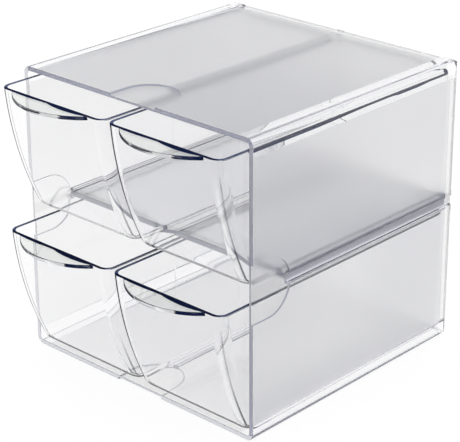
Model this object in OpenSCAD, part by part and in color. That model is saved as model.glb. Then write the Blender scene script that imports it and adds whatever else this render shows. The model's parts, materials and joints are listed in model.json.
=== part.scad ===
// Stackable box with four pull-out drawers, moulded in clear plastic.
// X is the width, Y runs from the front to the back and Z is up. The origin lies on the
// table, below the middle of the box and its drawer pulls together.

/* [Case] */
// Outer width of the case
case_w = 152; // [120:1:200]
// Outer height of the case
case_h = 152; // [120:1:200]
// Outer depth of the case, without the drawer fronts
case_d = 152; // [120:1:200]
// Thickness of the case walls
wall = 2.4; // [2:0.1:4]
// Radius of the long outer edges
edge_r = 4; // [3:0.5:6]
// Radius of the outer edges round the back
back_r = 4.5; // [3:0.5:8]
// Width of the level stacking band along each long edge
band_w = 9; // [7:0.5:14]
// How far the panels between the bands sink towards the back
panel_draft = 1.3; // [0.3:0.1:1.4]

/* [Thumb recesses] */
// Width of the recess in the middle of each front edge
recess_w = 30; // [20:1:40]
// Length of the recess from the front edge to its round end
recess_len = 26; // [22:1:34]
// Depth of the recess
recess_depth = 1.2; // [0.6:0.1:1.4]

/* [Side grooves] */
// Width of the groove at the outer face
groove_mouth = 5.6; // [4.5:0.1:8]
// Width of the groove's floor
groove_floor = 4; // [2:0.1:4.4]
// Depth of the groove
groove_depth = 2; // [1:0.1:2.2]

/* [Dividers] */
// Thickness of the shelf between the two rows
shelf_t = 2.8; // [2:0.1:3.5]
// Rise of the shelf's middle above the middle of the case
shelf_rise = 0.4; // [0:0.1:2]
// Thickness of the upright divider between the two columns
upright_t = 1.2; // [1:0.1:3]
// Thickness of the upright at its front edge
upright_nose_t = 0.8; // [0.6:0.1:1]
// Length over which the upright thins towards its front edge
upright_nose = 14; // [6:1:24]
// Setback of both dividers behind the front edge of the case
divider_setback = 25.5; // [15:0.5:40]
// How far the slotted side rails stand in from the wall
rail_out = 1.6; // [1.4:0.1:2]
// Depth of the slot in each side rail
slot_depth = 1.2; // [0.8:0.1:1.3]
// Height of each rail lip above and below the shelf, at the lip's edge
rail_lip = 1; // [0.8:0.1:1.4]
// Height of the twin ribs that hold the upright's lower and upper edge
rib_h = 1.2; // [0.8:0.1:1.6]
// Thickness of each of these ribs
rib_t = 1.2; // [0.8:0.1:1.6]

/* [Drawers] */
// Thickness of the drawer walls
drawer_wall = 1.7; // [1.2:0.1:2.4]
// Thickness of the drawer floor
drawer_floor = 1.7; // [1.2:0.1:2.4]
// How far each side of a drawer leans in from its rim to its foot
side_draft = 0.5; // [0.2:0.1:1]
// How far the drawer's back leans in from its rim to its foot
back_draft = 1; // [0.3:0.1:2]
// Reach of the front rim before the front edge of the case
front_reach = 18.5; // [10:0.5:24]
// Radius of the bowed drawer front, seen from the side
bow_r = 180; // [150:5:300]
// Lean of the drawer front at its rim, in degrees
rim_lean = 5; // [2:0.5:8]
// Radius of the upright corners of the drawer front
front_corner_r = 6; // [6:0.5:12]
// Radius of the upright corners at the drawer's back
back_corner_r = 6; // [5.5:0.5:10]
// Radius round the drawer's foot
foot_r = 5; // [4:0.5:5.5]

/* [Pulls] */
// Width of the crescent pull where it leaves the drawer front
pull_w = 53; // [40:1:56]
// Reach of the pull before the drawer's front rim
pull_reach = 11; // [8:0.5:16]
// Thickness of the pull
pull_t = 1.9; // [1.4:0.1:3]
// Drop of the pull's upper face below the rim
pull_drop = 0; // [0:0.1:3]

/* [Clearances] */
// Gap between a drawer's rim and each side of its cell
side_gap = 0.3; // [0.3:0.05:0.8]
// Gap above the rims of the upper drawers
rim_gap = 3.6; // [2:0.1:5]
// Gap between a drawer's back rim and the back wall
back_gap = 2; // [1:0.25:5]
// Play of the divider plates in their slots
slot_play = 0.1; // [0.05:0.05:0.3]

/* [Hidden] */
$fn = 64;
corner_steps = 7;   // segments in each rounded drawer corner
foot_steps = 5;     // sections in the rounding of a drawer's foot
bow_steps = 7;      // sections up the bowed part of a drawer
pull_sides = 128;   // sides of the disc that a pull is cut from
cut = 1;            // how far a cutter runs past what it cuts
least_r = 0.5;      // smallest rounding in the corners of the hollow

// The case spans front_y to back_y, and the pulls reach as far before it as the origin asks
pull_front = front_reach + pull_reach;
front_y = (pull_front - case_d) / 2;
back_y = front_y + case_d;
divider_y = front_y + divider_setback;
inner_back_y = back_y - wall;
inner_x = case_w / 2 - wall;

// The levels of the shelf and of the two rows of drawers
shelf_mid = case_h / 2 + shelf_rise;
shelf_low = shelf_mid - shelf_t / 2;
shelf_top = shelf_mid + shelf_t / 2;
ceiling_z = case_h - wall;
drawer_h = min(shelf_low - wall, ceiling_z - shelf_top) - rim_gap;
slot_x = inner_x - rail_out + slot_depth;

// One cell lies on each side of the upright
cell_w = inner_x - upright_t / 2;
cell_mid = (inner_x + upright_t / 2) / 2;
drawer_w = cell_w - 2 * side_gap;
drawer_front_y = front_y - front_reach;
drawer_back_y = inner_back_y - back_gap;

clear_case = [0.86, 0.87, 0.91, 0.45];
clear_divider = [0.80, 0.80, 0.86, 0.5];
clear_drawer = [0.62, 0.66, 0.80, 0.55];

// ---------- outlines ----------

// Rectangle centred on X that stands on the X axis, with all four corners rounded
module rounded_rect(w, h, r) {
    translate([-w / 2, r]) square([w, h - 2 * r]);
    translate([-w / 2 + r, 0]) square([w - 2 * r, h]);
    for (x = [-w / 2 + r, w / 2 - r], y = [r, h - r])
        translate([x, y]) circle(r);
}

// Rectangle from 0 to length along Y whose two far corners are rounded
module far_rounded_rect(w, length, r) {
    translate([-w / 2, 0]) square([w, length - r]);
    translate([-w / 2 + r, 0]) square([w - 2 * r, length]);
    for (x = [-w / 2 + r, w / 2 - r])
        translate([x, length - r]) circle(r);
}

// Tongue that runs back from the front edge and ends in a half circle
module thumb_outline() {
    translate([-recess_w / 2, -cut]) square([recess_w, recess_len - recess_w / 2 + cut]);
    translate([0, recess_len - recess_w / 2]) circle(recess_w / 2);
}

// ---------- case ----------

// Places its children, drawn over the XY plane with the front edge on the X axis and
// their tops at z = 0, on each of the four long walls of the case in turn
module on_each_wall() {
    translate([0, front_y, case_h]) children();
    translate([0, front_y, 0]) rotate([0, 180, 0]) children();
    translate([case_w / 2, front_y, case_h / 2]) rotate([0, 90, 0]) children();
    translate([-case_w / 2, front_y, case_h / 2]) rotate([0, -90, 0]) children();
}

module on_both_sides() {
    translate([case_w / 2, 0, shelf_mid]) children();
    translate([-case_w / 2, 0, shelf_mid]) mirror([1, 0, 0]) children();
}

// Outer block: the front profile, cut back to the plan and side outlines with their round
// back edges
module case_block() {
    intersection() {
        translate([0, back_y, 0]) rotate([90, 0, 0])
            linear_extrude(case_d) rounded_rect(case_w, case_h, edge_r);
        translate([0, front_y, 0])
            linear_extrude(case_h) far_rounded_rect(case_w, case_d, back_r);
        translate([-case_w / 2, front_y, case_h / 2]) rotate([0, 90, 0])
            linear_extrude(case_w) far_rounded_rect(case_h, case_d, back_r);
    }
}

// The hollow, open at the front
module case_hollow() {
    hollow_r = max(edge_r - wall, least_r);
    translate([0, inner_back_y, wall]) rotate([90, 0, 0])
        linear_extrude(case_d - wall + cut)
            rounded_rect(2 * inner_x, ceiling_z - wall, hollow_r);
}

// Wedge that lets the panel between two stacking bands sink towards the back
module panel_wedge(panel_w) {
    translate([-panel_w / 2, 0, 0]) rotate([90, 0, 90]) linear_extrude(panel_w)
        polygon([[0, 0], [case_d + cut, -panel_draft * (case_d + cut) / case_d],
                 [case_d + cut, cut], [0, cut]]);
}

module panels() {
    for (side = [0, 1]) {
        translate([0, front_y, side * case_h]) rotate([0, 180 * (1 - side), 0])
            panel_wedge(case_w - 2 * band_w);
        translate([(side - 0.5) * case_w, front_y, case_h / 2])
            rotate([0, (side - 0.5) * 180, 0]) panel_wedge(case_h - 2 * band_w);
    }
}

// Groove outside each side wall, level with the shelf, from the thumb recess to the back. It
// starts a little before the recess ends, so that it opens into it
module side_groove() {
    groove_y = front_y + recess_len - groove_mouth / 2;
    flank = (groove_mouth - groove_floor) / 2;
    widest = groove_mouth / 2 + flank * cut / groove_depth;
    translate([0, back_y + cut, 0]) rotate([90, 0, 0]) linear_extrude(back_y + cut - groove_y)
        polygon([[cut, -widest], [cut, widest], [-groove_depth, groove_floor / 2],
                 [-groove_depth, -groove_floor / 2]]);
}

// Slotted rail inside each side wall that takes one edge of the shelf
module shelf_rail() {
    lip_z = shelf_t / 2 + rail_lip;
    face_x = -wall - rail_out;
    translate([0, inner_back_y + wall / 2, 0]) rotate([90, 0, 0])
        linear_extrude(inner_back_y + wall / 2 - divider_y)
            polygon([[-wall / 2, lip_z + rail_out + wall / 2], [face_x, lip_z],
                     [face_x, -lip_z], [-wall / 2, -lip_z - rail_out - wall / 2]]);
}

module shelf_slot() {
    slot_in = wall + rail_out - slot_depth;
    translate([-slot_in - slot_depth - cut, divider_y - cut, -shelf_t / 2])
        cube([slot_depth + cut, inner_back_y - divider_y + cut, shelf_t + slot_play]);
}

// Twin ribs on the floor and on the ceiling that hold the upright between them
module upright_ribs() {
    rib_in = upright_t / 2 + slot_play / 2;
    for (side = [-1, 1], z = [wall / 2, ceiling_z - rib_h])
        translate([side * (rib_in + rib_t / 2) - rib_t / 2, divider_y, z])
            cube([rib_t, inner_back_y - divider_y + wall / 2, rib_h + wall / 2]);
}

module case_shell() {
    color(clear_case) difference() {
        union() {
            difference() {
                case_block();
                case_hollow();
            }
            on_both_sides() shelf_rail();
            upright_ribs();
        }
        panels();
        on_each_wall() translate([0, 0, -recess_depth])
            linear_extrude(recess_depth + cut) thumb_outline();
        on_both_sides() side_groove();
        on_both_sides() shelf_slot();
    }
}

// ---------- dividers ----------

// The two plates cross in half-lap slots: the upright's opens to the front and the shelf's
// to the back, so the upright goes in first and the shelf slides over it
lap_y = (divider_y + inner_back_y) / 2;
lap_w = upright_t + slot_play;

module divider_shelf() {
    shelf_x = slot_x - slot_play;
    color(clear_divider) difference() {
        translate([-shelf_x, divider_y, shelf_low])
            cube([2 * shelf_x, inner_back_y - divider_y, shelf_t]);
        translate([-lap_w / 2, lap_y, shelf_low - cut])
            cube([lap_w, inner_back_y - lap_y + cut, shelf_t + 2 * cut]);
    }
}

// Plan of the upright: its front part thins on both sides, so that a drawer slides past it
module upright_plan() {
    nose_y = divider_y + upright_nose;
    polygon([[-upright_nose_t / 2, divider_y], [upright_nose_t / 2, divider_y],
             [upright_t / 2, nose_y], [upright_t / 2, inner_back_y],
             [-upright_t / 2, inner_back_y], [-upright_t / 2, nose_y]]);
}

module divider_upright() {
    color(clear_divider) difference() {
        translate([0, 0, wall]) linear_extrude(ceiling_z - wall - slot_play) upright_plan();
        translate([-upright_t / 2 - cut, divider_y - cut, shelf_low])
            cube([upright_t + 2 * cut, lap_y - divider_y + cut, shelf_t + slot_play]);
    }
}

// ---------- drawers ----------

// Inset of a rounding of radius r at height h above its lowest point
function round_in(h, r) = h >= r ? 0 : r - sqrt(r * r - (r - h) * (r - h));

// Lean of the bowed front, and how far it has run back from the rim, at height h
function bow_lean(h) = asin(sin(rim_lean) + (drawer_h - h) / bow_r);
function bow_back(h) = bow_r * (cos(rim_lean) - cos(bow_lean(h)));

// Share of the drafts that applies at height h
function draft_at(h) = (drawer_h - h) / drawer_h;

// One rounded corner of a section, as points round its centre
function corner(x, y, r, start, z) =
    [for (i = [0 : corner_steps])
        let (a = start + 90 * i / corner_steps)
        [x + r * cos(a), y + r * sin(a), z]];

// Section of the drawer at height z, t inside its outer face, with the rounding of the
// foot drawing it in by a further s
function section(z, t, s) =
    let (x = drawer_w / 2 - side_draft * draft_at(z) - t - s,
         front = drawer_front_y + bow_back(z) + t / cos(bow_lean(z)) + s,
         back = drawer_back_y - back_draft * draft_at(z) - t - s,
         front_r = front_corner_r - t - s,
         back_r = back_corner_r - t - s)
    concat(corner(x - back_r, back - back_r, back_r, 0, z),
           corner(-x + back_r, back - back_r, back_r, 90, z),
           corner(-x + front_r, front + front_r, front_r, 180, z),
           corner(x - front_r, front + front_r, front_r, 270, z));

// Heights of the sections of one skin, from its foot at z0 to the rim: close together
// round the foot and evenly up the bow
function levels(z0, r) = concat(
    [for (i = [0 : foot_steps - 1]) z0 + r * (1 - cos(90 * i / foot_steps))],
    [for (i = [0 : bow_steps]) z0 + r + (drawer_h - z0 - r) * i / bow_steps]);

// Closed solid through sections of equal length, stacked from first to last
module loft(sections) {
    n = len(sections[0]);
    last = len(sections) - 1;
    sides = [for (k = [0 : last - 1], i = [0 : n - 1])
        let (j = (i + 1) % n)
        each [[k * n + i, (k + 1) * n + i, k * n + j],
              [k * n + j, (k + 1) * n + i, (k + 1) * n + j]]];
    foot = [for (i = [0 : n - 1]) i];
    top = [for (i = [n - 1 : -1 : 0]) last * n + i];
    polyhedron([for (s = sections) each s], concat([foot], sides, [top]));
}

// Open tub: up the outer skin to the rim, then down the inner skin to the drawer's floor
module tub() {
    inner_r = foot_r - drawer_wall;
    outer_skin = [for (z = levels(0, foot_r)) section(z, 0, round_in(z, foot_r))];
    up = levels(drawer_floor, inner_r);
    inner_skin = [for (i = [len(up) - 1 : -1 : 0])
        section(up[i], drawer_wall, round_in(up[i] - drawer_floor, inner_r))];
    loft(concat(outer_skin, inner_skin));
}

// Crescent pull: a level slice of a disc whose chord lies on the bowed front
module pull() {
    disc_r = (pull_w * pull_w / 4 + pull_reach * pull_reach) / (2 * pull_reach);
    top_z = drawer_h - pull_drop;
    root_y = drawer_front_y + bow_back(top_z - pull_t) + drawer_wall / 2;
    disc_y = drawer_front_y - pull_reach + disc_r;
    intersection() {
        translate([0, disc_y, top_z - pull_t])
            cylinder(h = pull_t, r = disc_r, $fn = pull_sides);
        translate([-disc_r, disc_y - disc_r - cut, top_z - pull_t])
            cube([2 * disc_r, root_y - disc_y + disc_r + cut, pull_t]);
    }
}

// column is -1 for the left and 1 for the right, and z is the level that it stands on
module drawer(column, z) {
    color(clear_drawer) translate([column * cell_mid, 0, z]) {
        tub();
        pull();
    }
}

module drawer_lower_left() drawer(-1, wall);
module drawer_lower_right() drawer(1, wall);
module drawer_upper_left() drawer(-1, shelf_top);
module drawer_upper_right() drawer(1, shelf_top);

case_shell();
divider_shelf();
divider_upright();
drawer_lower_left();
drawer_lower_right();
drawer_upper_left();
drawer_upper_right();
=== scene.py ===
# %% [markdown]
# # A stackable box with four clear drawers
#
# The real box is moulded in clear polystyrene: one case, two divider plates that cross inside it,
# and four drawers. Almost everything that the eye sees in such a box is an edge. A flat clear wall
# shows as little more than a tint, while a rim, a corner or a rounded foot sends the eye a long way
# through the plastic and comes out dark. So the pieces are modelled with their real wall
# thickness and small rounded edges, and one clear plastic is set up that darkens with the distance
# light travels inside it.

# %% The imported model
import json
import math

import bmesh
import bpy
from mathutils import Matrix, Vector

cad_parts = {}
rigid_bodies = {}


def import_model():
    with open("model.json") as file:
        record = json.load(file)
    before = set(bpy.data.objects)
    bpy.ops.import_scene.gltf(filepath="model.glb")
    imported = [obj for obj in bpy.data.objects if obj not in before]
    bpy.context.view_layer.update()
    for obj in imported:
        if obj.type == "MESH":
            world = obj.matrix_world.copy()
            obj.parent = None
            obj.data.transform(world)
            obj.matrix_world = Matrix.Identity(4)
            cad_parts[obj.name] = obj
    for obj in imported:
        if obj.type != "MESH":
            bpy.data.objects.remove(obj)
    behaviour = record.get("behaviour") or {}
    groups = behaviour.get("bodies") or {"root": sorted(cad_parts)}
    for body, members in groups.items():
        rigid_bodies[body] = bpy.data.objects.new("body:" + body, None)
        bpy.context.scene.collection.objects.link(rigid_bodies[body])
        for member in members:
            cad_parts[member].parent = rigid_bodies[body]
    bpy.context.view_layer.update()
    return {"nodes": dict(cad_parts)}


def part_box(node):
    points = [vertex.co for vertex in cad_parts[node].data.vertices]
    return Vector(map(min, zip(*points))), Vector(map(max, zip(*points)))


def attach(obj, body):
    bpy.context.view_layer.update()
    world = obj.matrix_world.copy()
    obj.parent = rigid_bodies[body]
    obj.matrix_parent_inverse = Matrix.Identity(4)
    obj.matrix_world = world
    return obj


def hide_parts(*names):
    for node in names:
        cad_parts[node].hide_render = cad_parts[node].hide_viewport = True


for leftover in list(bpy.data.objects):
    bpy.data.objects.remove(leftover)
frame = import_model()
nodes = frame["nodes"]

# %% [markdown]
# ## Sizes
#
# Millimetres are easy to read and metres are what the scene is measured in, so each size is
# written in millimetres times MM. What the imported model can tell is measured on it: the case, the
# shelf's level, and later the place of each drawer and the level of its rim.

# %% Sizes
MM = 0.001
CASE_LOW, CASE_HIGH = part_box("case_shell")
BAND_W = 9 * MM
DRAWER_WALL = 1.7 * MM
DRAWER_FLOOR = 1.7 * MM
PULL_W = 53 * MM
PULL_REACH = 11 * MM
PULL_T = 1.9 * MM
DRAWERS = ("drawer_lower_left", "drawer_lower_right", "drawer_upper_left", "drawer_upper_right")


def middle(node):
    """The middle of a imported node's box."""
    low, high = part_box(node)
    return (low + high) / 2


CASE_MID = middle("case_shell")
SHELF_MID = middle("divider_shelf").z
print("the shelf's middle is at", round(SHELF_MID / MM, 2), "mm")

# %% [markdown]
# ## Camera
#
# The photograph was taken from the right and a little above, from about 0.9 m away: the receding
# edges draw together only slightly. The camera's place was worked out from the corners of the
# case, and the small lens shift stands for the way the picture was cropped.

# %% Camera
AZIMUTH = math.radians(42.79)
ELEVATION = math.radians(22.993)
ROLL = math.radians(0.083)
DISTANCE = 890.28 * MM
AIM = (0.05 * MM, 14.84 * MM, 76.07 * MM)
FOCAL_PX = 1751.88
FRAME_W, FRAME_H = 460, 442
CENTRE_X, CENTRE_Y = 242.81, 203.87
SENSOR = 36

camera_data = bpy.data.cameras.new("camera")
camera_data.sensor_width = SENSOR
camera_data.lens = SENSOR * FOCAL_PX / FRAME_W
camera_data.shift_x = (FRAME_W / 2 - CENTRE_X) / FRAME_W
camera_data.shift_y = (CENTRE_Y - FRAME_H / 2) / FRAME_W
camera = bpy.data.objects.new("camera", camera_data)
bpy.context.collection.objects.link(camera)
camera.location = (
    AIM[0] + DISTANCE * math.cos(ELEVATION) * math.sin(AZIMUTH),
    AIM[1] - DISTANCE * math.cos(ELEVATION) * math.cos(AZIMUTH),
    AIM[2] + DISTANCE * math.sin(ELEVATION),
)
camera.rotation_mode = "XYZ"
camera.rotation_euler = (math.pi / 2 - ELEVATION, ROLL, AZIMUTH)
bpy.context.scene.camera = camera
print("camera at", [round(c / MM) for c in camera.location], "mm")

# %% [markdown]
# ## Writing node trees as maths
#
# Shaders and Geometry Nodes share the Math node. Wrapping a socket in a small class that knows
# + - * / lets a formula be written once, as Python, and turned into nodes as it is read. All other
# nodes come from one method, Tree.node. A socket is given by its name, with _ for a space, or by
# its number, as _0.


# %% Values and trees
class Value:
    """A number inside a node tree. Maths on it adds Math nodes to that tree."""

    def __init__(self, tree, socket):
        self.tree = tree
        self.socket = socket

    def __add__(self, other):
        return self.tree.maths("ADD", self, other)

    def __sub__(self, other):
        return self.tree.maths("SUBTRACT", self, other)

    def __rsub__(self, other):
        return self.tree.maths("SUBTRACT", other, self)

    def __mul__(self, other):
        return self.tree.maths("MULTIPLY", self, other)

    def __truediv__(self, other):
        return self.tree.maths("DIVIDE", self, other)

    def __rtruediv__(self, other):
        return self.tree.maths("DIVIDE", other, self)

    def __gt__(self, other):
        return self.tree.maths("GREATER_THAN", self, other)

    def __lt__(self, other):
        return self.tree.maths("LESS_THAN", self, other)

    __radd__ = __add__
    __rmul__ = __mul__


class Tree:
    """A node tree that is filled in with few words."""

    def __init__(self, tree):
        self.tree = tree
        self.nodes = tree.nodes

    def node(self, kind, settings=None, **sockets):
        """Adds a node: its settings first, then values or links for its sockets."""
        made = self.nodes.new(kind)
        for name, setting in (settings or {}).items():
            setattr(made, name, setting)
        for name, given in sockets.items():
            key = int(name[1:]) if name[1:].isdigit() else name.replace("_", " ")
            self.feed(made.inputs[key], given)
        return made

    def feed(self, socket, given):
        """Links a value or a socket to a socket, or sets the socket to a plain number."""
        if isinstance(given, Value):
            self.tree.links.new(given.socket, socket)
        elif isinstance(given, bpy.types.NodeSocket):
            self.tree.links.new(given, socket)
        else:
            socket.default_value = given

    def out(self, kind, settings=None, output=0, **sockets):
        """A node's output, as a value to calculate with."""
        return Value(self, self.node(kind, settings, **sockets).outputs[output])

    def maths(self, operation, *terms):
        """A Math node on up to three terms."""
        numbered = {f"_{i}": term for i, term in enumerate(terms)}
        return self.out("ShaderNodeMath", {"operation": operation}, **numbered)

    def smooth(self, value, start, stop):
        """0 before start and 1 after stop, with a soft step between them."""
        settings = {"interpolation_type": "SMOOTHSTEP"}
        return self.out("ShaderNodeMapRange", settings, Value=value, From_Min=start, From_Max=stop)


# %% [markdown]
# ## The drawer, as a rule
#
# A drawer is a tub whose plan is a rectangle with four rounded corners, and whose wall is one
# closed line: round the foot, up the outside, over the rim, down the inside and round the inner
# foot. Every point of the tub is one step round the plan and one step along that wall line, so a
# plain grid can be bent into it: the columns turn the corners and the rows follow the wall. The
# front alone bows, as a circle of 180 mm seen from the side. Geometry Nodes hold this rule, with
# the sizes as inputs, and all four drawers come from the one tree.

# %% Sizes of a drawer
CORNER_STEPS = 14
FOOT_STEPS = 8
WALL_STEPS = 20
RIM_STEPS = 10
COLUMNS = 4 * (CORNER_STEPS + 1)
ROWS = 2 * (FOOT_STEPS + 2) + 2 * WALL_STEPS + RIM_STEPS
TUB_INPUTS = {
    "Width": 72.4 * MM,
    "Front": -79.75 * MM,
    "Back": 86.35 * MM,
    "Height": 68.2 * MM,
    "Wall": DRAWER_WALL,
    "Floor": DRAWER_FLOOR,
    "Side draft": 0.5 * MM,
    "Back draft": 1 * MM,
    "Bow radius": 180 * MM,
    "Rim lean": math.radians(5),
    "Front corner": 6 * MM,
    "Back corner": 6 * MM,
    "Foot": 5 * MM,
    "Rim rise": 0.2 * MM,
}
print("a drawer's grid has", COLUMNS, "columns and", ROWS, "rows")

# %% [markdown]
# ## The wall line
#
# The rows are shared out among the stretches of the wall line. Each stretch gets a number that runs
# from 0 to 1 while its rows pass, so a sum of such numbers walks the whole line. The first and the
# last row are each drawn together to one point in the middle of the floor, which closes the tub, and
# the rows beside them end the flat floor just inside the foot's round.

# %% The wall line
RIM_SHAPE = 0.6
LEDGE = 0.4 * MM
QUARTER = math.pi / 2


def passed(t, row, before, count):
    """How much of a stretch of rows has passed, from 0 to 1."""
    return t.maths("MINIMUM", t.maths("MAXIMUM", (row - before) / count, 0.0), 1.0)


def wall_line(t, size, row):
    """A row's height, how far in it stands, how far through the wall it is, and 0 where closed."""
    before = 2
    foot_turn = passed(t, row, before, FOOT_STEPS) * QUARTER
    before += FOOT_STEPS
    rise = passed(t, row, before, WALL_STEPS)
    before += WALL_STEPS
    rim_turn = passed(t, row, before, RIM_STEPS) * math.pi
    before += RIM_STEPS
    fall = passed(t, row, before, WALL_STEPS)
    before += WALL_STEPS
    inner_turn = passed(t, row, before, FOOT_STEPS) * QUARTER
    spread = passed(t, row, 0, 1) * (1 - passed(t, row, ROWS - 1, 1))
    ledge = LEDGE * ((1 - passed(t, row, 1, 1)) + passed(t, row, ROWS - 2, 1))

    inner_r = size["Foot"] - size["Wall"]
    through = size["Wall"] / 2 * (1 - t.maths("COSINE", rim_turn))
    crown = t.maths("POWER", t.maths("SINE", rim_turn), RIM_SHAPE)
    foot_inset = size["Foot"] * (1 - t.maths("SINE", foot_turn))
    inner_inset = inner_r * (1 - t.maths("COSINE", inner_turn))
    inset = through + (foot_inset + inner_inset) + ledge
    wall_top = size["Height"] - size["Rim rise"]
    z = (
        size["Foot"] * (1 - t.maths("COSINE", foot_turn))
        + (wall_top - size["Foot"]) * rise
        + size["Rim rise"] * crown
        - (wall_top - size["Floor"] - inner_r) * fall
        - inner_r * t.maths("SINE", inner_turn)
    )
    return z, inset, through, spread


# %% [markdown]
# ## The plan
#
# Seen from above, each column belongs to one of four corners, and stands at an angle round that
# corner's centre. The front centres follow the bow, so the front swings out from the foot to the
# rim. The sides and the back lean out a little, as a moulded piece must to leave its mould.


# %% The plan
def plan_place(t, size, column, wall):
    """X and Y of a point, from its column and from what the wall line says about its row."""
    z, inset, through, spread = wall
    corner = t.maths("FLOOR", column / (CORNER_STEPS + 1))
    step = column - corner * (CORNER_STEPS + 1)
    angle = (corner + step / CORNER_STEPS) * QUARTER
    aim = (corner + 0.5) * QUARTER
    side = t.maths("SIGN", t.maths("COSINE", aim))
    behind = t.maths("SINE", aim) > 0
    ahead = 1 - behind
    corner_r = behind * size["Back corner"] + ahead * size["Front corner"]
    draft = (size["Height"] - z) / size["Height"]
    sine = t.maths("SINE", size["Rim lean"]) + (size["Height"] - z) / size["Bow radius"]
    cosine = t.maths("SQRT", 1 - sine * sine)
    bow = size["Bow radius"] * (t.maths("COSINE", size["Rim lean"]) - cosine)
    slant = through * (1 / cosine - 1)
    centre_x = side * (size["Width"] / 2 - size["Side draft"] * draft - corner_r)
    back_y = size["Back"] - size["Back draft"] * draft - corner_r
    front_y = size["Front"] + bow + slant + corner_r
    centre_y = behind * back_y + ahead * front_y
    radius = corner_r - inset
    x = (centre_x + radius * t.maths("COSINE", angle)) * spread
    middle_y = (size["Front"] + size["Back"]) / 2
    y = middle_y + (centre_y + radius * t.maths("SINE", angle) - middle_y) * spread
    return x, y


# %% [markdown]
# ## The tub's tree
#
# The tree reads a point's column and row from its place in the flat grid, bends the grid and merges
# the points that fall together. It ends in Realize Instances and Set Material, so that real
# geometry with its finish leaves the tree.

# %% The tub's tree
WELD = 0.001 * MM


def tub_tree():
    """The node group that bends a grid into a drawer tub, centred on X and standing on Z = 0."""
    group = bpy.data.node_groups.new("drawer tub", "GeometryNodeTree")
    group.interface.new_socket("Geometry", in_out="OUTPUT", socket_type="NodeSocketGeometry")
    for name in TUB_INPUTS:
        group.interface.new_socket(name, in_out="INPUT", socket_type="NodeSocketFloat")
    group.interface.new_socket("Material", in_out="INPUT", socket_type="NodeSocketMaterial")
    t = Tree(group)
    given = t.node("NodeGroupInput")
    size = {name: Value(t, given.outputs[name]) for name in TUB_INPUTS}

    counts = {"Vertices_X": COLUMNS + 1, "Vertices_Y": ROWS + 1}
    grid = t.node("GeometryNodeMeshGrid", Size_X=1.0, Size_Y=1.0, **counts)
    place = t.out("GeometryNodeInputPosition")
    split = t.node("ShaderNodeSeparateXYZ", Vector=place)
    column = t.maths("ROUND", (Value(t, split.outputs["X"]) + 0.5) * COLUMNS)
    row = t.maths("ROUND", (Value(t, split.outputs["Y"]) + 0.5) * ROWS)
    wall = wall_line(t, size, row)
    x, y = plan_place(t, size, column, wall)
    bent = t.out("ShaderNodeCombineXYZ", X=x, Y=y, Z=wall[0])

    moved = t.node("GeometryNodeSetPosition", Geometry=grid.outputs["Mesh"], Position=bent)
    welded = t.node("GeometryNodeMergeByDistance", Geometry=moved.outputs["Geometry"], Distance=WELD)
    rounded = t.node("GeometryNodeSetShadeSmooth", Geometry=welded.outputs["Geometry"])
    made = t.node("GeometryNodeRealizeInstances", Geometry=rounded.outputs["Geometry"])
    skin = t.node("GeometryNodeSetMaterial", Geometry=made.outputs["Geometry"])
    t.feed(skin.inputs["Material"], given.outputs["Material"])
    t.node("NodeGroupOutput", Geometry=skin.outputs["Geometry"])
    return group


tub_group = tub_tree()
print("the tub's tree has", len(tub_group.nodes), "nodes")

# %% [markdown]
# ## From modifiers to plain meshes
#
# A modifier is a recipe that is worked out again each time the scene changes. A finished piece is
# better as a plain mesh, so `settled` takes the worked-out result and throws the recipe away. A
# clear piece must also be closed, with all its faces pointing outwards, because the renderer tells
# from them whether a ray is inside the plastic.
#
# Wide flat faces beside narrow round ones show false shadows when their normals are averaged.
# Weighted Normal gives the large faces the lead, and so keeps flat walls flat.


# %% Plain meshes
def link(name, mesh):
    """An object for a mesh whose place is already in its points."""
    made = bpy.data.objects.new(name, mesh)
    bpy.context.collection.objects.link(made)
    return made


def settled(piece, name):
    """A plain mesh of a piece with its modifiers worked out, under a new name."""
    evaluated = piece.evaluated_get(bpy.context.evaluated_depsgraph_get())
    mesh = bpy.data.meshes.new_from_object(evaluated)
    mesh.name = name
    old = piece.data
    bpy.data.objects.remove(piece)
    if old.users == 0:
        bpy.data.meshes.remove(old)
    return link(name, mesh)


def outward(mesh):
    """Merges doubled points, turns all faces outwards and counts the edges left open."""
    shape = bmesh.new()
    shape.from_mesh(mesh)
    bmesh.ops.remove_doubles(shape, verts=shape.verts, dist=WELD)
    bmesh.ops.recalc_face_normals(shape, faces=shape.faces)
    open_edges = sum(1 for edge in shape.edges if not edge.is_manifold)
    shape.to_mesh(mesh)
    shape.free()
    return open_edges


def evened(piece, keep_sharp=False):
    """Lets large faces lead the shading of the small ones beside them."""
    even = piece.modifiers.new("even", "WEIGHTED_NORMAL")
    even.mode = "FACE_AREA"
    even.weight = 100
    even.keep_sharp = keep_sharp
    return piece


def make_tub(tree, material):
    """A tub from the tree, as a closed mesh."""
    seed = link("tub", bpy.data.meshes.new("tub"))
    bend = seed.modifiers.new("bend", "NODES")
    bend.node_group = tree
    given = {**TUB_INPUTS, "Material": material}
    for item in tree.interface.items_tree:
        if item.in_out == "INPUT":
            bend[item.identifier] = given[item.name]
    tub = settled(seed, "tub")
    print("tub:", len(tub.data.vertices), "points, open edges", outward(tub.data))
    return tub


# %% [markdown]
# ## The pull
#
# The pull is a thin crescent, level with the rim: a slice of a disc whose flat side is buried in
# the drawer's front. Its lip is a flat face with small round edges, so that the eye looks straight
# into the plastic there. A section of it is swept round the disc, as a lathe would, and then joined
# to the tub by a Boolean union, because a face left inside clear plastic would show.

# %% The pull
PULL_STEPS = 96
LIP_STEPS = 5
LIP_R = 0.35 * MM
PULL_DISC_R = (PULL_W**2 / 4 + PULL_REACH**2) / (2 * PULL_REACH)
print("the pull is cut from a disc of", round(PULL_DISC_R / MM, 1), "mm radius")


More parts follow.
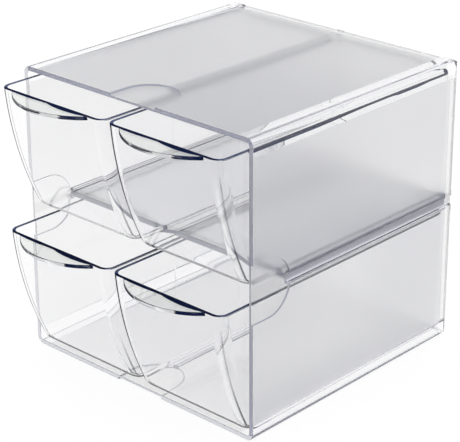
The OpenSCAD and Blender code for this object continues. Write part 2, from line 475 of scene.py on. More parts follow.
def lip_profile(reach, top):
    """The section of the lip from its lower to its upper edge, as pairs of reach and height."""
    profile = []
    for turn_from, z in ((-0.5, top - PULL_T + LIP_R), (0.0, top - LIP_R)):
        for i in range(LIP_STEPS + 1):
            turn = math.pi * (turn_from + 0.5 * i / LIP_STEPS)
            profile.append((reach - LIP_R * (1 - math.cos(turn)), z + LIP_R * math.sin(turn)))
    return profile


def make_pull(front, top, material):
    """The crescent, in front of the drawer whose front rim is at Y = front and Z = top."""
    centre_y = front - PULL_REACH + PULL_DISC_R
    root_y = front + DRAWER_WALL / 2
    half = math.acos((centre_y - root_y) / PULL_DISC_R)
    profile = lip_profile(PULL_DISC_R, top)
    shape = bmesh.new()
    rows = []
    for i in range(PULL_STEPS + 1):
        turn = half * (2 * i / PULL_STEPS - 1)
        places = [(r * math.sin(turn), min(centre_y - r * math.cos(turn), root_y), z) for r, z in profile]
        rows.append([shape.verts.new(place) for place in places])
    for a, b in zip(rows, rows[1:]):
        for low, high in zip(range(len(profile) - 1), range(1, len(profile))):
            shape.faces.new((a[low], a[high], b[high], b[low]))
    shape.faces.new([row[0] for row in rows])
    shape.faces.new([row[-1] for row in reversed(rows)])
    bmesh.ops.remove_doubles(shape, verts=shape.verts, dist=WELD)
    bmesh.ops.holes_fill(shape, edges=[edge for edge in shape.edges if edge.is_boundary])
    bmesh.ops.recalc_face_normals(shape, faces=shape.faces)
    mesh = bpy.data.meshes.new("pull")
    shape.to_mesh(mesh)
    shape.free()
    mesh.materials.append(material)
    for face in mesh.polygons:
        face.use_smooth = True
    return link("pull", mesh)


# %% [markdown]
# ## The clear plastic
#
# Polystyrene bends light a little more than window glass does. Its tint lies in its depth, so the
# colour sits in a volume that absorbs and not on the surface. One function sets up this plastic and
# hands back the tree, so that each piece can add its own frost or stain to it.

# %% The clear plastic
PLASTIC_IOR = 1.57
CLEAR = (1, 1, 1, 1)
REFLECTION_TINT = (0.15, 0.16, 0.24, 1)


def clear_plastic(name, tint, density, ior=PLASTIC_IOR):
    """A clear material, its tree and its surface shader."""
    material = bpy.data.materials.new(name)
    material.use_nodes = True
    t = Tree(material.node_tree)
    t.nodes.clear()
    surface = t.node("ShaderNodeBsdfPrincipled", Base_Color=CLEAR, Roughness=0.0, IOR=ior)
    t.feed(surface.inputs["Transmission Weight"], 1.0)
    t.feed(surface.inputs["Specular Tint"], REFLECTION_TINT)
    inside = t.node("ShaderNodeVolumeAbsorption", Color=tint, Density=density)
    t.node("ShaderNodeOutputMaterial", Surface=surface.outputs[0], Volume=inside.outputs[0])
    return material, t, surface


def covered(t, shader):
    """Puts a shader, which covers the plain plastic, at the material's surface."""
    output = next(node for node in t.nodes if node.type == "OUTPUT_MATERIAL")
    t.feed(output.inputs["Surface"], shader)


def coordinates(t, kind):
    """X, Y and Z of the point that is shaded, or of its normal, in the object's own frame."""
    coordinate = t.node("ShaderNodeTexCoord").outputs[kind]
    parts = t.node("ShaderNodeSeparateXYZ", Vector=coordinate).outputs
    return [Value(t, parts[axis]) for axis in ("X", "Y", "Z")]


def blend_colours(t, share, first, second):
    """The first colour where share is 0 and the second where it is 1."""
    mix = t.node("ShaderNodeMix", {"data_type": "RGBA"}, _0=share, _6=first, _7=second)
    return mix.outputs[2]


# %% [markdown]
# ## Painted shade and highlights
#
# On the real drawers every rim shows as a dark blue line: light that reaches the eye from there has
# run down inside the wall. A renderer would need a dark room and very long light paths to find this,
# so such lines are painted instead: a Mix Shader lays a matt layer of painted shade over the clear
# plastic. Where the real box shows a bright streak, a painted highlight, a metal-like gloss, is laid
# over it in the same way.

# %% Painted shade and highlights
PAINT_ROUGHNESS = 0.5
HIGHLIGHT_ROUGHNESS = 0.2


def painted_over(t, clear, share, colour):
    """Lays a matt layer of painted shade over a clear surface where share is 1; with a pale colour it is
    painted light.
    """
    paint_layer = t.node("ShaderNodeBsdfPrincipled", Base_Color=colour, Roughness=PAINT_ROUGHNESS)
    t.feed(paint_layer.inputs["Specular IOR Level"], 0.0)
    return t.node("ShaderNodeMixShader", _0=share, _1=clear, _2=paint_layer.outputs[0]).outputs[0]


def highlighted(t, clear, share):
    """Lays a painted highlight, a bright gloss that shows the white surroundings, over a clear surface.
    """
    highlight_layer = t.node("ShaderNodeBsdfPrincipled", Base_Color=CLEAR, Roughness=HIGHLIGHT_ROUGHNESS)
    t.feed(highlight_layer.inputs["Metallic"], 1.0)
    return t.node("ShaderNodeMixShader", _0=share, _1=clear, _2=highlight_layer.outputs[0]).outputs[0]


def largest(t, first, *others):
    """The largest of several values."""
    for other in others:
        first = t.maths("MAXIMUM", first, other)
    return first


def hump(t, value, start, full, fall, end):
    """0 outside start and end and 1 between full and fall, with soft steps."""
    return t.smooth(value, start, full) * (1 - t.smooth(value, fall, end))


# %% [markdown]
# ## Where on a drawer
#
# The four drawers share one material, so the painted shade and highlights are placed by measures that
# mean the same on each: how far a point is from the drawer's middle line, how deep below its rim and
# how far ahead of its front wall's inner face. They are worked out from Object coordinates, which move
# with the drawer.

# %% Where on a drawer
LIFT = 0.1 * MM
PULL_FROM = 0.3 * MM
PULL_BELOW = 0.1 * MM
CELL_MIDDLE = middle("drawer_upper_right").x
RIM_HALF_W = TUB_INPUTS["Width"] / 2
RIM_LOWER, RIM_UPPER = [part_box(name)[1].z + LIFT for name in ("drawer_lower_left", "drawer_upper_left")]
print("rims at", round(RIM_LOWER / MM, 2), "and", round(RIM_UPPER / MM, 2), "mm")


class Spot:
    """The point on a drawer that is shaded: its place on its own drawer and where it faces."""

    def __init__(self, t):
        self.x, self.y, z = coordinates(t, "Object")
        self.face_x, self.face_y, self.face_z = coordinates(t, "Normal")
        self.local = self.x - t.maths("SIGN", self.x) * CELL_MIDDLE
        self.upper = z > SHELF_MID
        self.right_column = self.x > 0
        self.in_case = self.right_column * (self.y > CASE_LOW.y)
        self.depth = RIM_LOWER + self.upper * (RIM_UPPER - RIM_LOWER) - z
        self.ahead = (TUB_INPUTS["Front"] + DRAWER_WALL) - self.y
        self.steep = t.maths("ABSOLUTE", self.face_z)
        before_wall = self.ahead > DRAWER_WALL + PULL_FROM
        self.on_pull = before_wall * (self.depth < PULL_T + PULL_BELOW)


# %% [markdown]
# ## The rims
#
# The front rim carries the pull, and there its dark line swells on both sides of the middle, more
# on the right than on the left: two humps of a sine wave. The other rims are greyer, and densest
# along their inner edge. Behind the groove of the case the photograph shows hardly any line.

# %% The rims
# The rims' dark lines are painted shade: navy on the front rim and greyer on the others.
CROWN = 0.3 * MM
SWELL_W = 27 * MM
SWELL_LEFT = 1.1 * MM
SWELL_RIGHT = 2.2 * MM
SWELL_SHAPE = 0.6
NECK = 1.5 * MM
INNER_EDGE_W = 1.1 * MM
SIDE_RIM_SHADE = 0.4
INNER_EDGE_SHADE = 0.45
BEHIND_GROOVE_FROM = CASE_LOW.y + 20 * MM
BEHIND_GROOVE_LOSS = 0.85
print("behind the groove means from Y =", round(BEHIND_GROOVE_FROM / MM, 1), "mm")


def groove_fade(at):
    """1, and much less on the right side of the lower right drawer, behind the case's groove."""
    behind = (at.x > CELL_MIDDLE) * (1 - at.upper) * (at.y > BEHIND_GROOVE_FROM)
    return 1 - behind * BEHIND_GROOVE_LOSS


def rim_shade(t, at):
    """How much painted shade lies on the front line, and on the other rims."""
    along = at.local + NECK
    wave = t.maths("ABSOLUTE", t.maths("SINE", along * (math.pi / SWELL_W)))
    swell = SWELL_LEFT + (along > 0) * (SWELL_RIGHT - SWELL_LEFT)
    within = t.maths("ABSOLUTE", along) < SWELL_W
    lens = t.maths("POWER", wave, SWELL_SHAPE) * within * swell
    top = at.depth < CROWN
    front_line = top * (at.ahead > 0) * (at.ahead < DRAWER_WALL + lens)
    inner_edge = t.maths("ABSOLUTE", at.local) < RIM_HALF_W - INNER_EDGE_W
    sides = top * (at.ahead < 0) * (SIDE_RIM_SHADE + inner_edge * INNER_EDGE_SHADE) * groove_fade(at)
    return front_line, sides


# %% [markdown]
# ## The right wall
#
# Through the polished band of the case, the right wall of a drawer shows a blue line below its rim,
# which is painted shade. It is thick near the front, thin in the middle and thicker once more toward the
# back.

# %% The right wall
NEAR_PART = (-20 * MM, 25 * MM)
FAR_PART = (38 * MM, 44 * MM, 58 * MM, 68 * MM)
REACH_IN_CASE = 0.4 * MM
REACH_NEAR = 0.9 * MM
REACH_FAR = 0.5 * MM
REACH_OUTSIDE = 0.6 * MM
WALL_SHADE = 0.6
WALL_SHADE_IN_CASE = 0.35
FACES_RIGHT = 0.7
OUTSIDE_FROM = RIM_HALF_W - 1 * MM
print("the outer face lies past", round(OUTSIDE_FROM / MM, 1), "mm from a drawer's middle")


def wall_shade(t, at):
    """How much painted shade lies on the right wall, and how far down it reaches."""
    near = 1 - t.smooth(at.y, *NEAR_PART)
    far = hump(t, at.y, *FAR_PART)
    in_reach = REACH_IN_CASE + at.upper * (near * REACH_NEAR + far * REACH_FAR)
    reach = at.in_case * in_reach + (1 - at.in_case) * REACH_OUTSIDE
    outside = (at.face_x > FACES_RIGHT) * (at.local > OUTSIDE_FROM)
    density = (WALL_SHADE + at.in_case * WALL_SHADE_IN_CASE) * groove_fade(at)
    return outside * (at.depth < reach) * density * (at.ahead < 0)


# %% [markdown]
# ## The pull's lip
#
# From left to right the lip shows a fine grey line, a dark spot, a bright gap and a dark blue bar
# that ends where the pull does. The line, the spot and the bar are painted shade, and the bright gap
# is a painted highlight. The places are measured from the middle of the drawer.

# %% The pull's lip
LINE_H = 0.4 * MM
LINE_LEFT_END = (-22 * MM, -16 * MM)
LINE_THINS = (0 * MM, 5 * MM)
LIP_LINE_SHADE = 0.2
LINE_LOSS = 0.15
LEFT_END_SHADE = 0.25
DARK_SPOT = (-7 * MM, -4 * MM, 2 * MM, 6 * MM)
DARK_SPOT_SHADE = 0.4
BAR_FROM = (15.5 * MM, 16.5 * MM)
BAR_SHADE = 0.85
BAR_STEEP = 0.75
LIP_STEEP = 0.9
LEFT_BRIGHT = (-23 * MM, -20 * MM, -10 * MM, -7 * MM)
LEFT_HIGHLIGHT = 0.35
RIGHT_BRIGHT = (4 * MM, 7 * MM, 14.5 * MM, 15.5 * MM)
RIGHT_HIGHLIGHT = 0.6


def lip_shade(t, at):
    """Painted shade: a fine line along the lip's lower edge, and a full bar at its right end."""
    bar = (at.steep < BAR_STEEP) * t.smooth(at.local, *BAR_FROM) * BAR_SHADE
    thinning = t.smooth(at.local, *LINE_THINS) * LINE_LOSS
    dark_spot = hump(t, at.local, *DARK_SPOT) * DARK_SPOT_SHADE
    left_end = (1 - t.smooth(at.local, *LINE_LEFT_END)) * LEFT_END_SHADE
    weight = LIP_LINE_SHADE - thinning + dark_spot + left_end
    line = (at.steep < LIP_STEEP) * (at.depth > PULL_T - LINE_H) * weight
    return at.on_pull * largest(t, bar, line)


def lip_highlight(t, at):
    """Where a painted highlight brightens the lip: on both sides of its dark spot."""
    left = hump(t, at.local, *LEFT_BRIGHT) * LEFT_HIGHLIGHT
    right = hump(t, at.local, *RIGHT_BRIGHT) * RIGHT_HIGHLIGHT
    return at.on_pull * (at.steep < LIP_STEEP) * (left + right)


# %% [markdown]
# ## The corners
#
# The rounded corners of a drawer turn away from the eye within a millimetre. Real ones show as one
# fine dark line there, because they bend in the darker parts of the room; here that line is painted
# shade, a dark matt layer. Layer Weight finds where a surface turns away, and the normal tells which
# corner it is: the left front corner is the strongest, and the foot below the front shows too. The
# right front corner faces the eye. Its inner edge has a line of painted shade that darkens towards
# the foot, with a painted highlight, a soft white streak, beside it.

# %% The corners
TURN = (0.45, 0.62)
OUTER_X, OUTER_Y, OUTER_Z = -0.25, -0.2, -0.85
INNER_X, INNER_Y = 0.25, 0.2
LEFT_SHADE = 0.75
LEFT_SHADE_RIGHT_COLUMN = 0.2
INNER_SHADE = 0.5
FOOT_FRONT = -45 * MM
FOOT_DEPTH = 55 * MM
FOOT_STEEP = (0.5, 0.97)
FOOT_SHADE = 0.75
FOOT_LOSS_UPPER = 0.5
FOOT_GAIN_RIGHT_COLUMN = 0.2
EDGE_FACING = (0.6, 0.7)
EDGE_TOP = (6 * MM, 14 * MM)
EDGE_TOP_SHADE = 0.2
EDGE_LOW = (35 * MM, 60 * MM)
EDGE_LOW_SHADE = 0.4
GLINT_FACING = (0.05, 0.34, 0.36, 0.56)
GLINT_FROM = (6 * MM, 30 * MM)
GLINT = 0.36
FACES_FRONT = -0.3


def corner_shade(t, at):
    """How much painted shade darkens the corners and the foot of a drawer."""
    turned = t.smooth(t.out("ShaderNodeLayerWeight", output=1), *TURN)
    outer = turned * (at.face_x < OUTER_X) * (at.face_y < OUTER_Y) * (at.face_z > OUTER_Z)
    inward = (at.face_x > INNER_X) * (at.face_y > INNER_Y)
    inner = turned * inward * (at.local < 0) * (at.depth > PULL_T)
    outer_shade = LEFT_SHADE + at.right_column * LEFT_SHADE_RIGHT_COLUMN
    inner_shade = (1 - at.right_column) * INNER_SHADE
    slanted = (at.steep > FOOT_STEEP[0]) * (at.steep < FOOT_STEEP[1])
    foot_round = slanted * (at.depth > FOOT_DEPTH) * (at.y < FOOT_FRONT)
    upper_loss = FOOT_LOSS_UPPER - at.right_column * FOOT_GAIN_RIGHT_COLUMN
    foot = turned * foot_round * (FOOT_SHADE - at.upper * upper_loss)
    edge_facing = (at.face_x > EDGE_FACING[0]) * (at.face_x < EDGE_FACING[1])
    right_edge = edge_facing * (at.face_y < FACES_FRONT)
    edge_top = t.smooth(at.depth, *EDGE_TOP) * at.right_column * EDGE_TOP_SHADE
    edge_low = t.smooth(at.depth, *EDGE_LOW) * EDGE_LOW_SHADE
    left = largest(t, outer * outer_shade, inner * inner_shade)
    return (at.y < 0) * largest(t, left, foot, right_edge * (edge_top + edge_low))


def corner_glint(t, at):
    """The painted highlight: a soft white streak beside the right front corner's line."""
    in_front = (at.face_y < FACES_FRONT) * (at.y < 0) * at.right_column
    beside = hump(t, at.face_x, *GLINT_FACING) * in_front
    return beside * t.smooth(at.depth, *GLINT_FROM) * GLINT


# %% [markdown]
# ## The drawers' plastic
#
# The painted light and shade meet in one material. The painted highlights go on first, then the painted
# shade of the corners, and the rims' painted shade on top of both. The pull itself is a little greyer
# than the walls.

# %% The drawers' plastic
DRAWER_TINT = (0.45, 0.45, 0.6, 1)
DRAWER_DENSITY = 14
RIM_SHADE_NAVY = (0.008, 0.014, 0.05, 1)
RIM_SHADE_GREY = (0.085, 0.12, 0.24, 1)
WALL_SHADE_BLUE = (0.006, 0.018, 0.085, 1)
CORNER_SHADE_GREY = (0.02, 0.025, 0.045, 1)
PULL_GREY = (0.88, 0.9, 0.87, 1)


def drawer_shade(t, at):
    """Where painted shade lies on a drawer, and its colour."""
    front_line, sides = rim_shade(t, at)
    lip = lip_shade(t, at)
    share = largest(t, front_line, sides, wall_shade(t, at), lip)
    blue = largest(t, at.in_case * (at.local > 0), lip > 0)
    colour = blend_colours(t, blue, RIM_SHADE_GREY, WALL_SHADE_BLUE)
    return share, blend_colours(t, front_line, colour, RIM_SHADE_NAVY)


def painted_drawer():
    """The plastic of all four drawers."""
    material, t, surface = clear_plastic("drawer plastic", DRAWER_TINT, DRAWER_DENSITY)
    at = Spot(t)
    t.feed(surface.inputs["Base Color"], blend_colours(t, at.on_pull, CLEAR, PULL_GREY))
    share, colour = drawer_shade(t, at)
    lit = highlighted(t, surface.outputs[0], largest(t, corner_glint(t, at), lip_highlight(t, at)))
    corners = painted_over(t, lit, corner_shade(t, at), CORNER_SHADE_GREY)
    covered(t, painted_over(t, corners, share, colour))
    return material


drawer_plastic = painted_drawer()
print("the drawers' plastic has", len(drawer_plastic.node_tree.nodes), "nodes")

# %% [markdown]
# ## Frost on the case
#
# The panels between the polished bands are finely frosted on their outer faces, so what is inside
# shows only as soft tones. Both finishes belong to one moulding, so this is one material: a mask
# worked out from the place of each point raises the roughness and greys the panels. Bands and front
# edges stay polished, and the groove in the right side is half frosted.

# %% Frost: where
SKIN = 1.7 * MM
FRONT_EDGE = 0.3 * MM
HALF_W = CASE_HIGH.x
PANEL = HALF_W - BAND_W + 0.05 * MM
GROOVE_HALF = 2.85 * MM
GROOVE_FROM = CASE_LOW.y + 23 * MM
GROOVE_FROST = 0.5
print("panels lie within", round(PANEL / MM, 2), "mm of the middle of a side")


def groove_mask(t, x, y, z):
    """1 in the right side's groove, which is the one that the photograph shows, and 0 elsewhere."""
    return (t.maths("ABSOLUTE", z - SHELF_MID) < GROOVE_HALF) * (y > GROOVE_FROM) * (x > PANEL)


def frost_mask(t, across, up, y, in_groove):
    """1 on the frosted panels, less in the right groove and 0 on the polished bands."""
    in_band = (across > PANEL) * (up > PANEL)
    sides = largest(t, across > HALF_W - SKIN, (across > PANEL) * (up < GROOVE_HALF))
    outer = largest(t, sides, up > HALF_W - SKIN, y > CASE_HIGH.y - SKIN)
    behind_edge = y > CASE_LOW.y + FRONT_EDGE
    return outer * (1 - in_band) * (1 - in_groove * (1 - GROOVE_FROST)) * behind_edge


# %% [markdown]
# ## The panels' grey
#
# A frosted panel takes its tone from what is behind it. The photograph shows soft shade on the
# right half of the top toward the front, low on the upper right panel, where it rises toward the
# front, and along the foot and the back of the lower one. The grey darkens upwards as a whole.

# %% Frost: colour
# The soft shades and the darkening upwards are painted shade in the panels' colour.
FROST_LOW = (0.95, 0.95, 0.95, 1)
FROST_SHADED_HIGH = (0.86, 0.86, 0.865, 1)
FROST_SHADE_RISE = (20 * MM, 140 * MM)
PANEL_SHADE_VIOLET = (0.42, 0.43, 0.5, 1)
TOP_PANEL_SHADE = 0.36
TOP_LEFT_SHARE = 0.3
TOP_SEAM = (-2 * MM, 8 * MM)
TOP_FADE = (-10 * MM, 70 * MM)
SHADE_H_FRONT = 44 * MM
SHADE_H_LOSS = 28 * MM
SHADE_H_FALL = (-15 * MM, 72 * MM)
SIDE_PANEL_SHADE = 0.42
SIDE_PANEL_SHADE_BACK = 0.27
SIDE_BACK = (-20 * MM, 40 * MM)
LOWER_PANEL_SHADE = 0.3
LOWER_FOOT = (12 * MM, 40 * MM)
LOWER_BACK = (-10 * MM, 50 * MM)


def frost_grey_and_shade(t, x, y, z):
    """The panels' grey, with the painted shade that darkens it upwards and in soft patches."""
    grey = blend_colours(t, t.smooth(z, *FROST_SHADE_RISE), FROST_LOW, FROST_SHADED_HIGH)
    to_right = TOP_LEFT_SHARE + t.smooth(x, *TOP_SEAM) * (1 - TOP_LEFT_SHARE)
    top = (z > CASE_HIGH.z - SKIN) * to_right * (1 - t.smooth(y, *TOP_FADE)) * TOP_PANEL_SHADE
    shade_h = SHADE_H_FRONT - t.smooth(y, *SHADE_H_FALL) * SHADE_H_LOSS
    above_groove = z > SHELF_MID + GROOVE_HALF
    above_shelf = above_groove * (1 - t.smooth((z - SHELF_MID) / shade_h, 0, 1))
    upper = above_shelf * (SIDE_PANEL_SHADE + t.smooth(y, *SIDE_BACK) * SIDE_PANEL_SHADE_BACK)
    foot = 1 - t.smooth(z, *LOWER_FOOT)
    lower = (z < SHELF_MID) * largest(t, foot, t.smooth(y, *LOWER_BACK)) * LOWER_PANEL_SHADE
    right = (x > HALF_W - SKIN) * largest(t, upper, lower)
    return blend_colours(t, largest(t, top, right), grey, PANEL_SHADE_VIOLET)


# %% [markdown]
# ## The case's edges
#
# A pale matt layer of painted light lightens the case's front edges, and a painted highlight brightens
# the palest ones, those of the floor and of the left wall. The recesses are drawn by a soft grey line
# of the same painted light, and a painted highlight gives the rounded back edges no dark outline.

# %% The case's edges
PAINTED_LIGHT = (0.82, 0.84, 1, 1)
FRONT_PAINTED_LIGHT = 0.27
LOW_PAINTED_LIGHT = 0.4
LOW_PART = (40 * MM, 110 * MM)
RECESS_PAINTED_LIGHT = 0.5
SOLE_PAINTED_LIGHT = 0.5
BACK_HIGHLIGHT = 0.6
PALE_HIGHLIGHT = 0.5
FAR_HIGHLIGHT = 0.7
EDGE_W = 3 * MM
FLAT_FRONT = 0.02 * MM
STEP_H = 1.25 * MM
RECESS_HALF = 16 * MM
RECESS_BACK = CASE_LOW.y + 27 * MM
BACK_TURN = (0.35, 0.5)
BACK_EDGE_W = 6 * MM
STEP_FACING = 0.5
SOLE_H = 0.5 * MM
SOLE_FACING = 0.98
print("the recesses end at Y =", round(RECESS_BACK / MM, 1), "mm")


def edge_light(t, x, y, z, across, up):
    """How much painted light the case's edges get as a pale matt layer, and where a painted highlight
    brightens them instead.
    """
    face_x, _, face_z = [t.maths("ABSOLUTE", part) for part in coordinates(t, "Normal")]
    flat_front = y < CASE_LOW.y + FLAT_FRONT
    front = flat_front * (FRONT_PAINTED_LIGHT + (1 - t.smooth(z, *LOW_PART)) * LOW_PAINTED_LIGHT)
    palest = flat_front * largest(t, z < EDGE_W, x < EDGE_W - HALF_W)
    top_step = (up > HALF_W - STEP_H) * (face_z < STEP_FACING) * (across < RECESS_HALF)
    side_step = (across > HALF_W - STEP_H) * (face_x < STEP_FACING) * (up < RECESS_HALF)
    in_recess = (y > CASE_LOW.y + FRONT_EDGE) * (y < RECESS_BACK)
    steps = largest(t, top_step, side_step) * in_recess
    far_step = side_step * (x < 0) * (z > SHELF_MID)
    turned = t.smooth(t.out("ShaderNodeLayerWeight", output=1), *BACK_TURN)
    back = turned * (y > CASE_HIGH.y - BACK_EDGE_W)
    sole = (z < SOLE_H) * (face_z < SOLE_FACING)
    matt = largest(t, front, steps * RECESS_PAINTED_LIGHT, sole * SOLE_PAINTED_LIGHT)
    return matt, largest(t, back * BACK_HIGHLIGHT, palest * PALE_HIGHLIGHT, far_step * FAR_HIGHLIGHT)


# %% [markdown]
# ## The case's plastic
#
# The groove in the right side has a pale violet floor below a fine dark line: the violet tint is
# painted shade, the pale floor painted light and the line painted shade. Frost, groove and edges are put
# together here.

# %% The case's plastic
CASE_TINT = (0.35, 0.4, 0.8, 1)
CASE_DENSITY = 5
FROST_ROUGHNESS = 0.3
GROOVE_SHADE_VIOLET = (0.86, 0.87, 0.97, 1)
GROOVE_PAINTED_LIGHT = (0.93, 0.94, 1, 1)
GROOVE_LIGHT_SHARE = 0.5
GROOVE_FLOOR_LOW = 1.8 * MM
GROOVE_SHADE_LINE = (0.1, 0.1, 0.14, 1)
LINE_LOW, LINE_HIGH = 2.75 * MM, 3.4 * MM
LINE_FROM = GROOVE_FROM + 3 * MM
GROOVE_LINE_SHADE_FRONT = 0.42
GROOVE_LINE_SHADE_LOSS = 0.25
LINE_FADE = (-40 * MM, 50 * MM)


def frosted_case():
    """The case's plastic: frosted panels with painted shade, polished bands, the groove and the edges'
    painted light.
    """
    material, t, surface = clear_plastic("case plastic", CASE_TINT, CASE_DENSITY)
    x, y, z = coordinates(t, "Object")
    across = t.maths("ABSOLUTE", x)
    up = t.maths("ABSOLUTE", z - CASE_MID.z)
    in_groove = groove_mask(t, x, y, z)
    frost = frost_mask(t, across, up, y, in_groove)
    t.feed(surface.inputs["Roughness"], frost * FROST_ROUGHNESS)
    panels = blend_colours(t, frost, CLEAR, frost_grey_and_shade(t, x, y, z))
    t.feed(surface.inputs["Base Color"], blend_colours(t, in_groove, panels, GROOVE_SHADE_VIOLET))
    groove_floor = in_groove * (z > SHELF_MID - GROOVE_FLOOR_LOW)
    pale = painted_over(t, surface.outputs[0], groove_floor * GROOVE_LIGHT_SHARE, GROOVE_PAINTED_LIGHT)
    above_groove = (z > SHELF_MID + LINE_LOW) * (z < SHELF_MID + LINE_HIGH)
    line = above_groove * (x > HALF_W - SKIN) * (y > LINE_FROM)
    line_shade = GROOVE_LINE_SHADE_FRONT - t.smooth(y, *LINE_FADE) * GROOVE_LINE_SHADE_LOSS
    lined = painted_over(t, pale, line * line_shade, GROOVE_SHADE_LINE)
    matt, bright = edge_light(t, x, y, z, across, up)
    covered(t, highlighted(t, painted_over(t, lined, matt, PAINTED_LIGHT), bright))
    return material


case_plastic = frosted_case()
print("the case's plastic has", len(case_plastic.node_tree.nodes), "nodes")

# %% [markdown]
# ## Shelf and upright
#
# The shelf is a little greyer than the rest, with lightly frosted faces and a pale front edge. The
# photograph shows nothing of the thin upright, so its plastic bends light far less than the rest
# and leaves only a trace of a line.

# %% The dividers' plastic
SHELF_TINT = (0.45, 0.45, 0.6, 1)
SHELF_GREY = (0.84, 0.845, 0.86, 1)
SHELF_DENSITY = 3
SHELF_FROST = 0.15
SHELF_LEVEL = 0.9
SHELF_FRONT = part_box("divider_shelf")[0].y + 0.3 * MM
# The shelf's pale front edge is painted light.
SHELF_PAINTED_LIGHT = 0.65
TRACE_IOR = 1.04
TRACE_DENSITY = 0.5


def frosted_shelf():
    """The shelf's plastic: grey and lightly frosted faces, and a front edge paled by painted light."""
    material, t, surface = clear_plastic("shelf plastic", SHELF_TINT, SHELF_DENSITY)
    y = coordinates(t, "Object")[1]
    face_z = coordinates(t, "Normal")[2]
    level = t.maths("ABSOLUTE", face_z) > SHELF_LEVEL
    t.feed(surface.inputs["Roughness"], level * SHELF_FROST)
    t.feed(surface.inputs["Base Color"], blend_colours(t, level, CLEAR, SHELF_GREY))
    covered(t, painted_over(t, surface.outputs[0], (y < SHELF_FRONT) * SHELF_PAINTED_LIGHT, PAINTED_LIGHT))
    return material


shelf_plastic = frosted_shelf()
upright_plastic, _, _ = clear_plastic("upright plastic", SHELF_TINT, TRACE_DENSITY, TRACE_IOR)
print("the shelf's front edge ends at Y =", round(SHELF_FRONT / MM, 1), "mm")

# %% [markdown]
# ## Four drawers
#
# Each drawer is a tub joined with its pull, and set into its cell. Edges sharper than 40 degrees,
# such as the one under the pull, stay sharp in the shading. A lift of a tenth of a millimetre keeps
# the foot of a drawer and the floor under it from touching, where two clear faces would flicker.

# %% Four drawers
SHARP = math.radians(40)


def make_drawer(name):
    """One drawer, in its place in the case."""
    low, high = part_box(name)
    tub = make_tub(tub_group, drawer_plastic)
    pull = make_pull(TUB_INPUTS["Front"], TUB_INPUTS["Height"], drawer_plastic)
    union = tub.modifiers.new("pull", "BOOLEAN")
    union.operation = "UNION"
    union.solver = "EXACT"
    union.object = pull
    joined = settled(tub, "joined")
    joined.data.set_sharp_from_angle(angle=SHARP)
    drawer = settled(evened(joined, keep_sharp=True), name + "_moulding")
    bpy.data.objects.remove(pull)
    for vertex in drawer.data.vertices:
        vertex.co.x += (low.x + high.x) / 2
        vertex.co.z += low.z + LIFT
    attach(drawer, name)
    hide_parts(name)
    print(name, len(drawer.data.polygons), "faces")


for name in DRAWERS:
    make_drawer(name)

# %% [markdown]
# ## Case, shelf and upright
#
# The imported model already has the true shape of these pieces, but its edges are perfectly sharp. A
# moulded edge is always a little round, and on clear plastic that round is what shows as a line. So
# each piece is copied, cleaned and bevelled by a quarter of a millimetre. The steps between the
# bands and the panels are left out: they fade to nothing at the front, where no bevel fits.

# %% Case, shelf and upright
EDGE_BEVEL = 0.25 * MM
BROKEN = math.radians(25)
FLAT = math.radians(0.2)
CAD_WELD = 0.0001 * MM
BESIDE = 0.01 * MM


def breaks(edge):
    """True for a sharp edge, unless it lies along the step beside a stacking band."""
    middle_of_edge = (edge.verts[0].co + edge.verts[1].co) / 2
    inner_side = CASE_HIGH.x - BAND_W
    across = abs(abs(middle_of_edge.x) - inner_side)
    up = abs(abs(middle_of_edge.z - CASE_MID.z) - inner_side)
    return edge.calc_face_angle(0) > BROKEN and min(across, up) >= BESIDE


def polished(node, name, material):
    """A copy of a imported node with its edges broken."""
    mesh = nodes[node].data.copy()
    shape = bmesh.new()
    shape.from_mesh(mesh)
    bmesh.ops.remove_doubles(shape, verts=shape.verts, dist=CAD_WELD)
    bmesh.ops.dissolve_limit(shape, angle_limit=FLAT, verts=shape.verts, edges=shape.edges)
    weight = shape.edges.layers.float.new("bevel_weight_edge")
    for edge in shape.edges:
        edge[weight] = float(breaks(edge))
    shape.to_mesh(mesh)
    shape.free()
    mesh.materials.clear()
    mesh.materials.append(material)
    for face in mesh.polygons:
        face.use_smooth = True
    piece = link(name, mesh)
    bevel = piece.modifiers.new("edges", "BEVEL")
    bevel.width = EDGE_BEVEL
    bevel.segments = 2
    bevel.limit_method = "WEIGHT"
    bevel.use_clamp_overlap = False
    piece = settled(evened(piece), name)
    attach(piece, "case")
    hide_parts(node)
    print(name, len(piece.data.polygons), "faces")


polished("case_shell", "case_moulding", case_plastic)
polished("divider_shelf", "shelf_plate", shelf_plastic)
polished("divider_upright", "upright_plate", upright_plastic)

# %% [markdown]
# ## Floor
#
# A wide disc that looks white. Part of it is an ordinary matt surface, which keeps the soft shadow
# of the box. The rest is a glow that only the camera and the rays through or off the plastic see: it
# lifts the floor to the plain white of the photograph and adds no light to the box.

# %% Floor
FLOOR_R = 3.0
FLOOR_Z = -0.2 * MM
FLOOR_SIDES = 96
FLOOR_MATT = (0.1, 0.1, 0.1, 1)
FLOOR_GLOW = 0.93


def seen_rays(t):
    """1 for rays of the camera and for rays reflected by or passed through the plastic."""
    path = t.node("ShaderNodeLightPath").outputs
    kinds = ("Is Camera Ray", "Is Glossy Ray", "Is Transmission Ray")
    camera_ray, glossy_ray, passed_ray = [Value(t, path[kind]) for kind in kinds]
    return t.maths("MINIMUM", camera_ray + glossy_ray + passed_ray, 1.0)


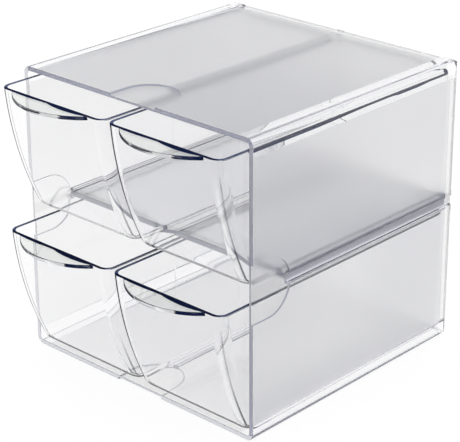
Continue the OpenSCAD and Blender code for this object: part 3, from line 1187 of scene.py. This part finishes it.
def floor_white():
    """Matt, with a glow for the rays that show the picture."""
    material = bpy.data.materials.new("floor white")
    material.use_nodes = True
    t = Tree(material.node_tree)
    t.nodes.clear()
    matt = t.node("ShaderNodeBsdfDiffuse", Color=FLOOR_MATT)
    glow = t.node("ShaderNodeEmission", Color=CLEAR, Strength=seen_rays(t) * FLOOR_GLOW)
    both = t.node("ShaderNodeAddShader", _0=matt.outputs[0], _1=glow.outputs[0])
    t.node("ShaderNodeOutputMaterial", Surface=both.outputs[0])
    return material


disc = bmesh.new()
bmesh.ops.create_circle(disc, cap_ends=True, segments=FLOOR_SIDES, radius=FLOOR_R)
for point in disc.verts:
    point.co.z = FLOOR_Z
floor_mesh = bpy.data.meshes.new("floor")
disc.to_mesh(floor_mesh)
disc.free()
floor_mesh.materials.append(floor_white())
link("floor", floor_mesh)
print("a floor of", 2 * FLOOR_R, "m")

# %% [markdown]
# ## Light
#
# Clear plastic shows its surroundings more than itself. A white room gives the even studio light,
# and its ceiling falls off to a cool grey for the rays that the plastic bends or reflects: those
# rays draw the edges, as the dark parts of a real studio do. What the room gives to matt surfaces
# stays even.

# %% Light
CEILING = (0.3, 0.32, 0.42, 1)
CEILING_RISE = (0.45, 0.95)

scene = bpy.context.scene
world = bpy.data.worlds.new("white room")
scene.world = world
world.use_nodes = True
room = Tree(world.node_tree)
room.nodes.clear()
direction = room.node("ShaderNodeTexCoord").outputs["Generated"]
height = Value(room, room.node("ShaderNodeSeparateXYZ", Vector=direction).outputs["Z"])
overhead = room.smooth(height, *CEILING_RISE) * seen_rays(room)
ceiling_colour = blend_colours(room, overhead, CLEAR, CEILING)
walls = room.node("ShaderNodeBackground", Color=ceiling_colour, Strength=1.0)
room.node("ShaderNodeOutputWorld", Surface=walls.outputs[0])
print("a room of", len(room.nodes), "nodes")

# %% [markdown]
# ## Long light paths
#
# A ray that enters a wall's edge is reflected inside it many times before it leaves. With the usual
# number of bounces it would be cut off and turn black, so the limits are raised.

# %% Long light paths
BOUNCES = 64
scene.view_settings.view_transform = "Standard"
scene.cycles.max_bounces = BOUNCES
scene.cycles.transmission_bounces = BOUNCES
scene.cycles.glossy_bounces = BOUNCES
scene.cycles.transparent_max_bounces = BOUNCES
print("up to", BOUNCES, "bounces")
